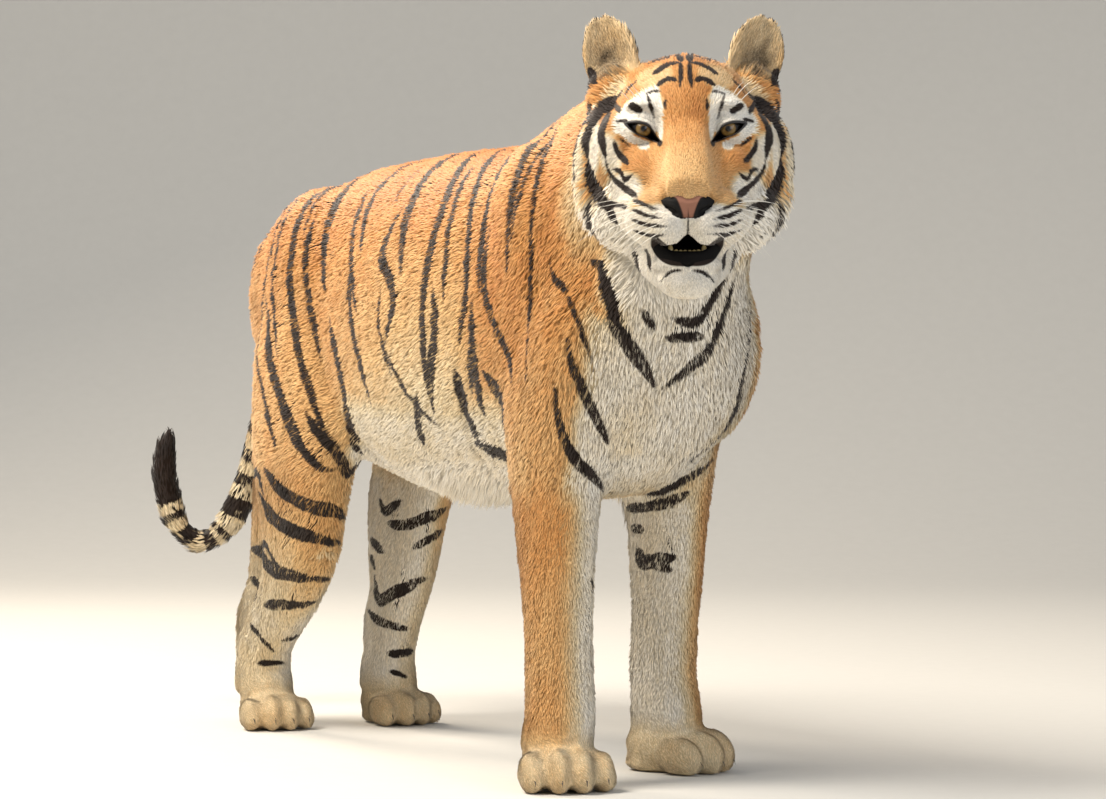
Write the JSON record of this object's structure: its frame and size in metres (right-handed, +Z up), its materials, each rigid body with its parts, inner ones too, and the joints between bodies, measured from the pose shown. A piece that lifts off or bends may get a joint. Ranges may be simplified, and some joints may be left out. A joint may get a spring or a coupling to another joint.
{
  "type": "bengal tiger",
  "caption": "Life-size standing Bengal tiger, head turned to its right, tail hooked up at the tip, mouth a little open.",
  "frame": {"origin": "on the floor under the middle of the outline's box", "axes": "+Z up, the trunk along Y with the head towards -Y and the tail towards +Y, the tiger's left side at +X"},
  "size_m": [0.445, 1.8718, 1.1237],
  "materials": {
    "orange_coat": "short dense fur, orange with black stripes",
    "cream_coat": "short dense fur, cream with black stripes",
    "black_coat": "short dense fur, black",
    "amber_eye": "wet gloss"
  },
  "bodies": {
    "root": {"chest": "orange_coat", "ear_left": "orange_coat", "ear_right": "orange_coat", "foreleg_left": "orange_coat", "foreleg_right": "orange_coat", "head": "orange_coat", "hindleg_left": "orange_coat", "hindleg_right": "orange_coat", "loin": "orange_coat", "neck": "orange_coat", "rump": "orange_coat", "shoulder_left": "orange_coat", "shoulder_right": "orange_coat", "tail_root": "orange_coat", "thigh_left": "orange_coat", "thigh_right": "orange_coat", "forepaw_left": "cream_coat", "forepaw_right": "cream_coat", "hindpaw_left": "cream_coat", "hindpaw_right": "cream_coat", "jaw": "cream_coat", "tail_middle": "cream_coat", "tail_tip": "black_coat", "eye_left": "amber_eye", "eye_right": "amber_eye"}
  },
  "joints": []
}
